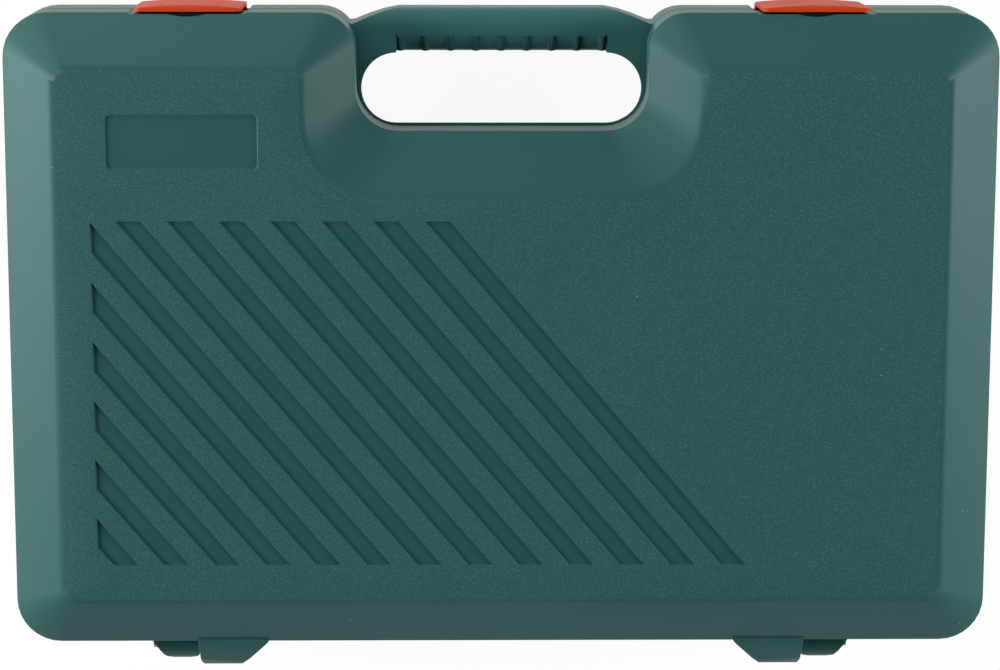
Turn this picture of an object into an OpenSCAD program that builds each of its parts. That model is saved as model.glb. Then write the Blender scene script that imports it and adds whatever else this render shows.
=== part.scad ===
// Socket wrench set in a blow-moulded plastic case.
// The case lies on its back as it is used: the base below, the lid above,
// the hand hold and the latches at -Y, the hinge at +Y. Millimetres, +Z up.

/* [Case] */
// Width of the case
case_w = 400; // [396:1:430]
// Depth of the case from the hand hold side to the hinge side, without the feet
case_d = 260; // [258:1:280]
// Height of the base half up to the seam
base_h = 36.5; // [36:0.5:40]
// Height of the lid half above the seam
lid_h = 35.5; // [34:0.5:42]
// Gap between the two halves at the seam
seam_gap = 0.3; // [0.2:0.1:0.6]
// Height of the sloping border between the side wall and the flat panel
border_rise = 16; // [12:0.5:18]
// Width of the sloping border, seen square on
border_run = 22.4; // [14:0.2:24]
// Fullness of the sloping border: 1 is a flat slope, 2 is a quarter round
border_fullness = 1.25; // [1.05:0.05:1.8]
// The same for the lid, whose border is all but flat
lid_border_fullness = 1.05; // [1.05:0.05:1.8]
// Radius of the outer corners of the wall
corner_r = 18; // [14:1:24]
// Radius of the corners of the flat panel
panel_corner_r = 4; // [3:0.5:8]
// Width of the seam rim round the tray and the lid cavity
rim_w = 14; // [12:0.5:16]
// Thickness of the lid panel over its cavity
panel_t = 5; // [4:0.5:7]

/* [Hand hold] */
// Width of the notch in the lid round the hand hole
notch_w = 118; // [112:1:126]
// Depth of the notch from the hand hold side
notch_depth = 47.5; // [46:0.5:54]
// Radius of the inner corners of the notch
notch_r = 17; // [12:1:20]
// Extra width of the sloping border along the notch floor: 1 is none
notch_floor_share = 1.17; // [1:0.01:1.3]
// Radius of the shoulders beside the notch
shoulder_r = 15; // [10:1:18]
// Radius of the shoulders on the flat panel
panel_shoulder_r = 3; // [2:0.5:6]
// Thickness of the hand grip bar, from the outside to the hand hole
grip_t = 18; // [16:0.5:20]
// Width of the hand hole
hole_w = 114; // [104:1:116]
// Height of the hand hole
hole_h = 28.4; // [24:0.2:28.6]
// How much wider the hand hole is on each side at the underside than at the seam
hole_draft = 4.4; // [2:0.2:6]
// Lowest level of the grip bar
grip_low = 6; // [4:0.5:10]
// Rounding of the grip bar's edges
grip_round = 8.5; // [4:0.5:8.5]
// Number of finger ribs on the grip bar
rib_count = 9; // [5:1:11]
// Distance between two finger ribs
rib_pitch = 10.3; // [8:0.1:11]
// Height of a finger rib
rib_proud = 0.7; // [0.5:0.1:1.2]

/* [Lid face] */
// Depth of the recessed stripes
stripe_depth = 1.2; // [1:0.1:2]
// Depth of the bare recessed plate
plate_depth = 0.9; // [0.5:0.1:0.9]
// Width of a stripe, measured along the top edge of the field
stripe_w = 10.2; // [8:0.1:12]
// Distance between two stripes, measured along the top edge of the field
stripe_pitch = 20.6; // [18:0.1:24]
// Angle of the stripes to the top edge of the field
stripe_angle = 49.7; // [42:0.1:58]
// Height of the striped field
field_h = 141.5; // [120:0.5:150]
// Distance of the striped field from the side wall of the case
field_side = 35.5; // [34:0.5:44]
// Distance of the striped field from the hinge side of the case
field_back = 36.4; // [34:0.5:42]
// Number of stripes
stripe_count = 13; // [8:1:14]
// Number of stripes that reach the edge of the field at the hand hold side
stripe_whole = 7; // [4:1:7]
// Distance from the side of the field to the first of those stripes
stripe_start = 10; // [2:0.5:14]
// Width of the bare recessed plate
plate_w = 60.6; // [50:0.2:64]
// Height of the bare recessed plate
plate_h = 21.6; // [18:0.2:24]
// Distance of the plate from the side wall of the case
plate_side = 42; // [38:0.5:48]
// Distance of the plate from the hand hold side of the case
plate_front = 39.4; // [36:0.2:44]
// Corner radius of the plate
plate_r = 2; // [1:0.5:4]

/* [Latches] */
// Distance of each latch's middle from the side wall of the case
latch_side = 74; // [66:1:80]
// Width of a latch
latch_w = 43; // [40:1:46]
// Space beside a latch in its recess
latch_side_gap = 2; // [1:0.5:2.5]
// How far a latch stands proud of the wall
latch_proud = 2.9; // [2.2:0.1:3.2]
// Radius of the bow across a latch
latch_bow_r = 180; // [140:5:260]
// Depth of the shallow latch recess in the lid
latch_recess = 0.6; // [0.3:0.1:1]
// Clearance between a latch and the wall of the lid
latch_gap = 0.3; // [0.3:0.1:0.6]
// Level of the latch axle
latch_axle_z = 18; // [17:0.5:20]
// Depth of the latch axle behind the wall
latch_axle_in = 2.6; // [2.5:0.1:3]
// Radius of the latch axle
latch_axle_r = 1.3; // [1:0.1:1.4]
// Length of the latch above the seam
latch_reach = 20.1; // [18:0.1:20.5]

/* [Hinge] */
// Radius of the hinge knuckles
knuckle_r = 5.5; // [5:0.1:6]
// Radius of the steel hinge pins
pin_r = 1.6; // [1.2:0.1:2]
// Clearance between a pin, an axle or a shaft and its bore
fit_gap = 0.04; // [0.02:0.01:0.08]
// Clearance between a knuckle and the wall beside it
knuckle_gap = 1.2; // [1:0.1:1.6]
// Rounding of the hinge feet's corners
foot_round = 4; // [2:0.5:5]
// Distance of the lid's feet, at their inner side, from the side wall of the case
lid_foot_side = 104; // [98:1:112]
// Width of a lid foot
lid_foot_w = 29.5; // [26:0.5:32]
// Width of a base foot
base_foot_w = 23; // [20:0.5:25]
// Gap between a lid foot and the base foot beside it
foot_gap = 0.6; // [0.4:0.1:1]

/* [Tray] */
// Level of the tray deck
deck_z = 28; // [26:0.5:30]
// Level of the bottoms of the deep pockets
pocket_floor = 5; // [4:0.5:6]
// Clearance round a tool in its pocket
tool_gap = 0.4; // [0.3:0.1:0.8]

/* [Tools] */
// Side of the half inch square drive
drive_sq = 12.7; // [12.6:0.05:12.75]
// Clearance of a square drive hole
drive_gap = 0.15; // [0.1:0.05:0.3]
// Length of a common socket
socket_l = 38; // [36:1:40]
// Diameter of the drive end of the small sockets
socket_d = 22; // [21.5:0.5:23]
// Gap between two sockets in the block
block_gap = 3.6; // [3:0.1:4]
// Diameter of the ratchet head
head_d = 38; // [36:1:40]
// Thickness of the ratchet head
head_t = 22; // [20:1:24]
// How much shorter the ratchet is, from the drive axis, than the case is wide
ratchet_short = 172; // [166:1:185]
// Diameter of the ratchet grip
grip_d = 28; // [26:1:30]
// Diameter of the ratchet shank
shank_d = 14; // [12:0.5:16]
// Diameter of an extension shaft
shaft_d = 13; // [12.5:0.5:14]
// How much shorter the T-bar and the longest extension are than the case is wide
long_tool_short = 150; // [144:1:170]
// Diameter of the sliding T-bar
t_bar_d = 12.5; // [11.5:0.1:13]
// Diameter of the universal joint
uj_d = 24; // [23:0.5:25]

/* [Hidden] */
$fn = 64;
tiny = 0.01;
over = 1;

SOCKET_ROW = [10, 11, 12, 13, 14, 15, 16, 17, 18, 19, 20, 21, 22];
SOCKET_BLOCK = [24, 27, 30, 32];
SOCKETS = concat(SOCKET_ROW, SOCKET_BLOCK);
PLUG_SOCKETS = [16, 21];
EXTENSIONS = [75, 125, 250];
LONGEST = EXTENSIONS[2];
BITS = [4, 5, 6, 7, 8];

// Case levels and edges
case_h = base_h + lid_h;
base_top = base_h - seam_gap / 2;
lid_low = base_h + seam_gap / 2;
front_y = -case_d / 2;
back_y = case_d / 2;
ceiling_z = case_h - panel_t;
border_steps = 8;
seam_round = 0.8;
arc_steps = 8;
cavity_taper = 10;
notch_spread = 0.65;

// Hinge
foot_wrap = 0.6;
hinge_y = back_y + knuckle_gap + knuckle_r;
foot_end_y = hinge_y + knuckle_r + foot_wrap;
foot_top = case_h - border_rise + 0.9;
foot_low = border_rise - 0.9;
lid_foot_x = case_w / 2 - lid_foot_side;
base_foot_x = lid_foot_x + lid_foot_w + foot_gap;
pin_in = 3;
pin_end_gap = 0.3;
pin_lid_l = 18.5;

// Grip bar
grip_top = base_top - 0.4;
rib_w = 3.4;
rib_slices = 3;
// Ends of the grip bar: how far they fall back from the outside along X
grip_fall = [[42, 0], [48, 1.3], [54, 3.4], [60.5, 6.2], [67, 6.2]];

// Latches
latch_x = case_w / 2 - latch_side;
recess_w = latch_w + 2 * latch_side_gap;
latch_axle_y = front_y + latch_axle_in;
latch_hub_r = 2.1;
latch_hub_gap = 0.5;
axle_reach = latch_side_gap + 2.5;
latch_recess_low = latch_axle_z - 6.2;
latch_round = 3;
lip_r = 30;
lip_in = 1.6;

// Tool proportions
fem_d = 22;
fem_l = 26;
fem_cone = 8;
neck_d = fem_d - 4;
male_l = 14;
anvil_l = 14;
ball_r = 2.2;
ball_out = 0.7;
ball_gap = 0.02;
sq_hole = drive_sq + drive_gap;
sq_depth = 16;
hex_gap = 0.15;
edge = 0.7;
groove = 0.4;
t_bar_l = case_w - long_tool_short;
ratchet_l = case_w - ratchet_short;
plug_l = 65;
plug_hex_l = 18;
plug_bore_x = 20;
function ext_len(l) = l == LONGEST ? case_w - long_tool_short : l;
t_head_w = 24;

// Places of the tools on the deck. The rows share the depth of the tray evenly.
tray_x = case_w / 2 - rim_w;
tray_y = case_d / 2 - rim_w;
tray_margin = 8;
row_sizes = [fem_d, plug_od(21), fem_d, socket_od(22), head_d, fem_d, t_head_w];
row_gap = (2 * tray_y - total(row_sizes, len(row_sizes))) / (len(row_sizes) + 1);
function total(sizes, n) = n == 0 ? 0 : sizes[n - 1] + total(sizes, n - 1);
function row_mid(i) = -tray_y + (i + 1) * row_gap + total(row_sizes, i) + row_sizes[i] / 2;
front_row_y = row_mid(0);
plug_row_y = row_mid(1);
mid_y = row_mid(2);
row_y = row_mid(3);
ratchet_y = row_mid(4);
ext_long_y = row_mid(5);
t_bar_y = row_mid(6);
bar_x0 = -tray_x + 10;
plug_x0 = -tray_x + tray_margin;
ratchet_x = -tray_x + head_d / 2 + tray_margin + over;
ratchet_z = pocket_floor + anvil_l + 1 + head_t / 2;
lying_z = deck_z + 1;
side_x = tray_x - 92;

function arc(cx, cy, r, a0, a1) =
    [for (i = [0:arc_steps]) let (a = a0 + (a1 - a0) * i / arc_steps) [cx + r * cos(a), cy + r * sin(a)]];

// Half of the case outline at an inset from the wall, from the middle of the notch
// floor round to the middle of the hinge side
function half_outline(inset, ro, rs, rc) =
    let (hx = case_w / 2 - inset, fy = front_y + inset, by = back_y - inset)
    let (nx = notch_w / 2 + inset, ny = front_y + notch_depth + notch_floor_share * inset)
    concat(
        [[0, ny]],
        arc(nx - rc, ny - rc, rc, 90, 0),
        arc(nx + rs, fy + rs, rs, 180, 270),
        arc(hx - ro, fy + ro, ro, 270, 360),
        arc(hx - ro, by - ro, ro, 0, 90),
        [[0, by]]
    );

// Half of the same outline without the notch
function plain_half(inset, ro) =
    let (hx = case_w / 2 - inset, fy = front_y + inset, by = back_y - inset)
    concat([[0, fy]], arc(hx - ro, fy + ro, ro, 270, 360), arc(hx - ro, by - ro, ro, 0, 90), [[0, by]]);

function whole_outline(h) =
    concat(h, [for (i = [len(h) - 2:-1:1]) [-h[i][0], h[i][1]]]);

// Share of the way from the wall corner radii to the panel corner radii at an inset
function ease(inset) = min(1, max(0, inset / border_run));
function mix(a, b, t) = a + (b - a) * t;

function ring(inset, notched) =
    let (t = ease(inset), ro = mix(corner_r, panel_corner_r, t))
    whole_outline(notched
        ? half_outline(inset, ro, mix(shoulder_r, panel_shoulder_r, t), notch_r + notch_spread * inset)
        : plain_half(inset, ro));

// A closed solid through rings of equal length, each given as [inset, level]
module loft(levels, notched = true) {
    rings = [for (l = levels) ring(l[0], notched)];
    n = len(rings[0]);
    m = len(levels);
    // the corner from which each half of the end faces is seen whole
    arcs = notched ? 4 : 2;
    anchor = 1 + (arcs - 1) * (arc_steps + 1);
    half = 1 + arcs * (arc_steps + 1);
    right_cap = [for (i = [0:half - 1]) if (i != anchor && i + 1 != anchor) [anchor, i, i + 1]];
    left_cap = [for (t = right_cap) [for (k = [0:2]) (n - t[2 - k]) % n]];
    cap = concat(right_cap, left_cap, [[anchor, half, 0], [0, half, n - anchor]]);
    points = [for (i = [0:m - 1]) for (p = rings[i]) [p[0], p[1], levels[i][1]]];
    sides = [
        for (i = [0:m - 2]) for (j = [0:n - 1])
            let (a = i * n + j, b = i * n + (j + 1) % n)
            for (f = [[a, a + n, b], [b, a + n, b + n]]) f
    ];
    polyhedron(
        points = points,
        faces = concat(
            cap,
            sides,
            [for (t = cap) [t[0] + (m - 1) * n, t[2] + (m - 1) * n, t[1] + (m - 1) * n]]
        ),
        convexity = 6
    );
}

// Inset of the sloping border at a share t of its height
function border_inset(t, full = border_fullness) = border_run * (1 - pow(1 - pow(t, full), 1 / full));

module lid_form() {
    wall_top = case_h - border_rise;
    loft(concat(
        [[seam_round, lid_low], [0, lid_low + seam_round]],
        [for (i = [0:border_steps])
            let (t = i / border_steps)
            [border_inset(t, lid_border_fullness), wall_top + border_rise * t]]
    ));
}

module base_form(notched = true) {
    loft(concat(
        [for (i = [border_steps:-1:0]) let (t = i / border_steps) [border_inset(t), border_rise * (1 - t)]],
        [[0, base_top - seam_round], [seam_round, base_top]]
    ), notched);
}

// Both the left and the right copy of what is at the right
module both_sides() {
    children();
    mirror([1, 0, 0]) children();
}

module x_rod(r, x0, x1, y, z) {
    translate([x0, y, z]) rotate([0, 90, 0]) cylinder(r = r, h = x1 - x0);
}

module box(x0, x1, y0, y1, z0, z1) {
    translate([x0, y0, z0]) cube([x1 - x0, y1 - y0, z1 - z0]);
}

// Outline of a hinge foot seen from above, with rounded corners: slope_low is how far
// the side at low x slopes in, slope_high the same at high x
module foot_plan(x0, x1, slope_low, slope_high) {
    deep = back_y - over - 2 * foot_round;
    offset(foot_round, $fn = 32) offset(-foot_round)
        polygon([[x0, deep], [x0, back_y], [x0 + slope_low, foot_end_y],
            [x1 - slope_high, foot_end_y], [x1, back_y], [x1, deep]]);
}

// Section of a hinge foot from the seam to its far end, which falls away like the border.
// The direction is 1 for the lid's feet and -1 for the base's.
module foot_section(direction, seam, far) {
    polygon([[back_y - over, seam], [foot_end_y, seam], [foot_end_y, far - 11 * direction],
        [foot_end_y - 1.2, far - 7 * direction], [foot_end_y - 4.5, far - 3 * direction],
        [back_y + 3, far - 0.5 * direction], [back_y - over, far + 0.8 * direction]]);
}

module lid_foot() {
    x1 = lid_foot_x + lid_foot_w;
    intersection() {
        union() {
            x_rod(knuckle_r, lid_foot_x, x1, hinge_y, base_h);
            translate([lid_foot_x, 0, 0]) rotate([90, 0, 90]) linear_extrude(lid_foot_w)
                foot_section(1, lid_low, foot_top);
        }
        linear_extrude(case_h) foot_plan(lid_foot_x, x1, foot_end_y - back_y, 1);
    }
}

module base_foot() {
    x1 = base_foot_x + base_foot_w;
    intersection() {
        union() {
            x_rod(knuckle_r, base_foot_x, x1, hinge_y, base_h);
            translate([base_foot_x, 0, 0]) rotate([90, 0, 90]) linear_extrude(base_foot_w)
                foot_section(-1, base_top, foot_low);
        }
        linear_extrude(case_h) foot_plan(base_foot_x, x1, 0, 0.75 * (foot_end_y - back_y));
    }
}

// Ends of the pin inside a lid foot and inside the base foot beside it
pin_x0 = lid_foot_x + lid_foot_w - pin_lid_l;
pin_x1 = base_foot_x + base_foot_w - pin_in;

module hinge_pin() {
    color("silver") x_rod(pin_r, pin_x0 + pin_end_gap, pin_x1 - pin_end_gap, hinge_y, base_h);
}

module pin_bore() {
    x_rod(pin_r + fit_gap, pin_x0, pin_x1, hinge_y, base_h);
}

// Recesses for the latch in the base and in the lid
module base_latch_recess() {
    box(latch_x - recess_w / 2, latch_x + recess_w / 2, front_y - over,
        latch_axle_y + latch_hub_r + latch_hub_gap, latch_recess_low, base_h + over);
    reach = latch_w / 2 + axle_reach + pin_end_gap;
    x_rod(latch_axle_r + fit_gap, latch_x - reach, latch_x + reach, latch_axle_y, latch_axle_z);
}

module lid_latch_recess() {
    top = base_h + latch_reach;
    box(latch_x - recess_w / 2, latch_x + recess_w / 2, front_y - over, front_y + latch_recess,
        base_h - over, top + over);
    // hollow behind the lip for a finger
    translate([latch_x, front_y + lip_in - lip_r, top - 5]) cylinder(r = lip_r, h = 5 + 2 * over);
}

// A bowed plate over the seam, on a hub with an axle in the base
module latch() {
    inner_y = front_y - latch_gap;
    outer_y = front_y - latch_proud;
    hub_y = latch_axle_y + latch_hub_r;
    top = base_h + latch_reach;
    low = latch_axle_z - latch_hub_r;
    half = latch_w / 2;
    color("orangered") translate([latch_x, 0, 0]) {
        intersection() {
            translate([-half, 0, 0]) rotate([90, 0, 90]) linear_extrude(latch_w) union() {
                polygon([
                    [outer_y, latch_axle_z + 4], [outer_y, top - 2], [outer_y + 0.5, top - 0.6],
                    [outer_y + 1.3, top], [inner_y, top], [inner_y, latch_axle_z + 8],
                    [hub_y, latch_axle_z + 3], [hub_y, latch_axle_z], [latch_axle_y, latch_axle_z - 1],
                    [latch_axle_y - 0.7 * latch_hub_r, latch_axle_z - 0.7 * latch_hub_r]
                ]);
                translate([latch_axle_y, latch_axle_z]) circle(latch_hub_r);
            }
            translate([0, outer_y + latch_bow_r, 0]) cylinder(r = latch_bow_r, h = case_h, $fn = 180);
            translate([-half, front_y + rim_w, low - latch_round]) rotate([90, 0, 0]) linear_extrude(2 * rim_w)
                offset(latch_round, $fn = 32) offset(-latch_round)
                    square([latch_w, top - low + latch_round]);
        }
        x_rod(latch_axle_r, -half - axle_reach, half + axle_reach, latch_axle_y, latch_axle_z);
    }
}

// Hand hole with round ends through the base, wider towards the underside
module hand_hole() {
    r = hole_h / 2;
    y = front_y + grip_t + r;
    half = hole_w / 2 - r;
    slope = hole_draft / base_top;
    low = r + hole_draft + slope * over;
    high = r - slope * over;
    both_sides() translate([half, y, -over]) cylinder(r1 = low, r2 = high, h = base_top + 2 * over);
    translate([-half, y, 0]) rotate([90, 0, 90]) linear_extrude(2 * half)
        polygon([[-low, -over], [low, -over], [high, base_top + over], [-high, base_top + over]]);
}

// Section of the grip bar across X, rounded at its edges
module grip_section(swell) {
    height = grip_top - grip_low + 2 * swell;
    translate([front_y, grip_low - swell])
        offset(grip_round, $fn = 32) offset(-grip_round) square([grip_t + swell, height]);
}

// The grip bar seen from above, with its ends falling back beside the shoulders
module grip_plan() {
    deep = front_y + notch_depth + over;
    edge_line = [for (p = grip_fall) [p[0], front_y + p[1]]];
    last = grip_fall[len(grip_fall) - 1][0];
    polygon(concat(edge_line, [[last, deep], [-last, deep]],
        [for (i = [len(edge_line) - 1:-1:0]) [-edge_line[i][0], edge_line[i][1]]]));
}

// The grip bar and the ends that join it to the shoulders, inside the sloping borders of the base
module grip_bar() {
    half = notch_w / 2 + shoulder_r;
    difference() {
        intersection() {
            base_form(notched = false);
            linear_extrude(case_h) grip_plan();
            union() {
                translate([-half, 0, 0]) rotate([90, 0, 90]) linear_extrude(2 * half) grip_section(0);
                both_sides() box(hole_w / 2 - hole_h / 2, half, front_y + grip_round,
                    front_y + notch_depth + over, grip_low, grip_top);
                box(-half, half, front_y + grip_t + hole_h - over, front_y + notch_depth + over,
                    grip_low, grip_top);
            }
        }
        hand_hole();
    }
    for (i = [0:rib_count - 1]) finger_rib((i - (rib_count - 1) / 2) * rib_pitch);
}

// A soft rib across the half of the grip bar that faces the hand hole: its slices get
// narrower as they stand prouder
module finger_rib(x) {
    for (k = [1:rib_slices]) {
        w = rib_w * (1 - (k - 1) / rib_slices);
        translate([x - w / 2, 0, 0]) rotate([90, 0, 90]) linear_extrude(w) difference() {
            grip_section(rib_proud * k / rib_slices);
            translate([front_y - over, -over]) square([0.6 * grip_t + over, case_h]);
            translate([front_y - over, -over]) square([2 * grip_t, grip_low + grip_round + over]);
        }
    }
}

function socket_od(s) = max(socket_d, 1.25 * s + 2.2);
function nose_d(s) = min(socket_od(s), 1.25 * s + 3.2);
function socket_len(s) = s > 22 ? socket_l + 4 : socket_l;

// Middle of each socket on the tray deck
function row_x(i) =
    i == 0 ? -tray_x + block_margin + socket_od(SOCKET_ROW[0]) / 2
    : row_x(i - 1) + (socket_od(SOCKET_ROW[i - 1]) + socket_od(SOCKET_ROW[i])) / 2 + socket_gap;
function in_row(s) = [for (i = [0:len(SOCKET_ROW) - 1]) if (SOCKET_ROW[i] == s) i];
block_margin = 6;
// The sockets in the row share the width of the tray evenly
socket_ods = [for (s = SOCKET_ROW) socket_od(s)];
socket_gap = (2 * (tray_x - block_margin) - total(socket_ods, len(socket_ods))) / (len(socket_ods) - 1);
block_x = tray_x - block_margin;
block_y = tray_y - block_margin;
function socket_xy(s) =
    s == 32 ? [block_x - socket_od(32) / 2, block_y - socket_od(32) / 2]
    : s == 30 ? [block_x - socket_od(32) - block_gap - socket_od(30) / 2, block_y - socket_od(30) / 2]
    : s == 27 ? [block_x - socket_od(27) / 2,
        block_y - socket_od(32) - block_gap - socket_od(27) / 2]
    : s == 24 ? [block_x - socket_od(27) - block_gap - socket_od(24) / 2,
        block_y - socket_od(32) - block_gap - socket_od(24) / 2]
    : [row_x(in_row(s)[0]), row_y];

// A socket standing on its drive end with its hexagon mouth up
module socket(s) {
    r = socket_od(s) / 2;
    n = nose_d(s) / 2;
    l = socket_len(s);
    step = 0.55 * l;
    mouth = 0.35 * l;
    cut = edge;
    color("silver") translate([socket_xy(s)[0], socket_xy(s)[1], pocket_floor]) difference() {
        rotate_extrude() polygon([
            [0, 0], [r - cut, 0], [r, cut], [r, 7], [r - groove, 7.4], [r - groove, 9], [r, 9.4],
            [r, step - (r - n)], [n, step], [n, l - cut], [n - cut, l], [0, l]
        ]);
        translate([0, 0, l - mouth]) cylinder(d = (s + hex_gap) / cos(30), h = mouth + over, $fn = 6);
        translate([0, 0, l - cut]) cylinder(d1 = s, d2 = s / cos(30) + 2 * cut, h = cut + tiny);
        translate([0, 0, over]) cylinder(d = min(s, drive_sq) - 1, h = l - mouth);
        translate([-sq_hole / 2, -sq_hole / 2, -over]) cube([sq_hole, sq_hole, sq_depth + over]);
    }
}

module socket_pocket(s) {
    translate([socket_xy(s)[0], socket_xy(s)[1], pocket_floor])
        cylinder(d = socket_od(s) + 2 * tool_gap, h = case_h);
}

// Long plug sockets with a rubber insert, lying on their sides
function plug_od(s) = s / cos(30) + 3.2;
function plug_y(s) = s == 16 ? front_row_y : plug_row_y;

module plug_socket(s) {
    r = plug_od(s) / 2;
    color("silver") translate([plug_x0, plug_y(s), lying_z]) rotate([0, 90, 0]) difference() {
        rotate_extrude() polygon([
            [0, 0], [r - edge, 0], [r, edge], [r, 8], [r - groove, 8.4], [r - groove, 10], [r, 10.4],
            [r, plug_l - edge], [r - edge, plug_l], [0, plug_l]
        ]);
        translate([0, 0, plug_l - plug_hex_l])
            cylinder(d = (s + hex_gap) / cos(30), h = plug_hex_l + over, $fn = 6);
        translate([0, 0, plug_bore_x]) cylinder(d = s - 0.5, h = plug_l - plug_bore_x - plug_hex_l + over);
        translate([0, 0, over]) cylinder(d = min(s, drive_sq) - 1.5, h = plug_bore_x);
        translate([-sq_hole / 2, -sq_hole / 2, -over]) cube([sq_hole, sq_hole, sq_depth + over]);
    }
}

module plug_insert(s) {
    r = (s - 0.5) / 2 - fit_gap;
    color("black") translate([plug_x0 + plug_bore_x + 2, plug_y(s), lying_z]) rotate([0, 90, 0])
        rotate_extrude() translate([r - 2.5, 0]) square([2.5, 18]);
}

module lying_pocket(r, x0, x1, y) {
    x_rod(r + tool_gap, x0 - tool_gap, x1 + tool_gap, y, lying_z);
}

// Extension bars lying along X: the female end at low x, the male square at high x
function ext_x0(l) = l == LONGEST ? bar_x0 : l == EXTENSIONS[1] ? plug_x0 : side_x;
function ext_y(l) = l == LONGEST ? ext_long_y : l == EXTENSIONS[1] ? mid_y : front_row_y;

module male_square(x, y, z) {
    diagonal = drive_sq * sqrt(2);
    box(x, x + male_l - 1, y - drive_sq / 2, y + drive_sq / 2, z - drive_sq / 2, z + drive_sq / 2);
    translate([x + male_l - 1, y, z]) rotate([0, 90, 0]) rotate([0, 0, 45])
        cylinder(d1 = diagonal - 1.2, d2 = diagonal - 4, h = 1, $fn = 4);
}

// Place of the detent ball in the male square of an extension
module at_ext_ball(l) {
    translate([ext_x0(l) + ext_len(l) - male_l / 2, ext_y(l), lying_z + drive_sq / 2 - ball_r + ball_out])
        children();
}

module extension(l) {
    x = ext_x0(l);
    end = ext_len(l) - male_l;
    color("silver") difference() {
        union() {
            translate([x, ext_y(l), lying_z]) rotate([0, 90, 0]) rotate_extrude() polygon([
                [0, 0], [fem_d / 2 - edge, 0], [fem_d / 2, edge], [fem_d / 2, fem_l],
                [shaft_d / 2, fem_l + fem_cone], [shaft_d / 2, end - fem_cone],
                [neck_d / 2, end - fem_cone / 2], [neck_d / 2, end], [0, end]
            ]);
            male_square(x + end - tiny, ext_y(l), lying_z);
        }
        box(x - over, x + sq_depth, ext_y(l) - sq_hole / 2, ext_y(l) + sq_hole / 2,
            lying_z - sq_hole / 2, lying_z + sq_hole / 2);
        at_ext_ball(l) sphere(r = ball_r + ball_gap);
    }
}

module extension_balls() {
    color("gray") for (l = EXTENSIONS) at_ext_ball(l) sphere(r = ball_r);
}

// Sliding T-bar: a round bar with a knob at each end, and a head that slides along it
t_z = deck_z - 2;
t_head_h = 24;
t_end = 30;
t_head_x = bar_x0 + t_bar_l - t_end;
t_travel = t_bar_l - 2 * t_end;

module t_bar() {
    r = t_bar_d / 2;
    color("silver") translate([bar_x0, t_bar_y, t_z]) rotate([0, 90, 0]) rotate_extrude() polygon([
        [0, 0], [r - 1, 0], [r, 1], [r, 5], [r - 0.8, 6], [r - 0.8, 8], [r, 9], [r, t_bar_l - 9],
        [r - 0.8, t_bar_l - 8], [r - 0.8, t_bar_l - 6], [r, t_bar_l - 5], [r, t_bar_l - 1],
        [r - 1, t_bar_l], [0, t_bar_l]
    ]);
}

module t_head() {
    h = t_head_h / 2;
    color("silver") translate([t_head_x, t_bar_y, t_z]) difference() {
        union() {
            translate([0, 0, -h]) cylinder(d = t_head_w, h = t_head_h - 3);
            translate([0, 0, h - 3]) cylinder(d1 = t_head_w, d2 = t_head_w - 5, h = 3);
            translate([-drive_sq / 2, -drive_sq / 2, 0]) cube([drive_sq, drive_sq, h + male_l]);
        }
        x_rod(t_bar_d / 2 + fit_gap, -t_head_w, t_head_w, 0, 0);
        translate([0, -drive_sq / 2 + ball_r - ball_out, h + male_l / 2]) sphere(r = ball_r + ball_gap);
    }
}

module t_head_ball() {
    color("gray")
        translate([t_head_x, t_bar_y - drive_sq / 2 + ball_r - ball_out, t_z + t_head_h / 2 + male_l / 2])
            sphere(r = ball_r);
}

// Ratchet: head at low x, drive axis upright, anvil down
cover_t = 2;
gear_r = 12;
gear_teeth = 36;
boss_r = 8.9;
head_low = ratchet_z - head_t / 2;
head_top = ratchet_z + head_t / 2;
gear_low = head_low + 4;
gear_h = head_t - 4 - cover_t - 1;
lever_dx = 14;
cover_r = 16.5;
lobe_r = 6;
stem_r = 3;
screw_r = 1.25;
screw_ring = 14.5;
SCREW_ANGLES = [110, 250];
grip_l = 110;
grip_x0 = ratchet_x + ratchet_l - grip_l;
neck_l = 44;
well_l = 30;
well_w = 32;
well_end = 34;

module ratchet_body() {
    cavity_r = gear_r + 0.6;
    color("silver") difference() {
        union() {
            translate([ratchet_x, ratchet_y, head_low]) rotate_extrude() polygon([
                [0, 0], [head_d / 2 - 2, 0], [head_d / 2, 2], [head_d / 2, head_t - 2],
                [head_d / 2 - 2, head_t], [0, head_t]
            ]);
            translate([ratchet_x, ratchet_y, ratchet_z]) rotate([0, 90, 0]) rotate_extrude() polygon([
                [0, 8], [head_t / 2 - 1, 8], [head_t / 2 - 1, 20], [shank_d / 2, neck_l],
                [shank_d / 2, ratchet_l - 4], [0, ratchet_l - 4]
            ]);
        }
        translate([ratchet_x, ratchet_y, gear_low - 0.4]) cylinder(r = cavity_r, h = head_t);
        translate([ratchet_x, ratchet_y, head_low - over]) cylinder(r = boss_r + fit_gap, h = head_t);
        // pawl chamber and lever bore
        translate([ratchet_x + lever_dx, ratchet_y, gear_low]) cylinder(r = 4.6, h = head_t);
        // cover seat
        translate([ratchet_x, ratchet_y, head_top - cover_t]) cylinder(r = cover_r, h = head_t);
        translate([ratchet_x + lever_dx, ratchet_y, head_top - cover_t]) cylinder(r = lobe_r, h = head_t);
        for (a = SCREW_ANGLES) at_screw(a) translate([0, 0, -5]) cylinder(r = screw_r + 0.05, h = 5 + tiny);
    }
}

// Drawn at the cover seat, on the axis of the screw at an angle round the head
module at_screw(angle) {
    translate([ratchet_x + screw_ring * cos(angle), ratchet_y + screw_ring * sin(angle), head_top - cover_t])
        children();
}

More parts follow.
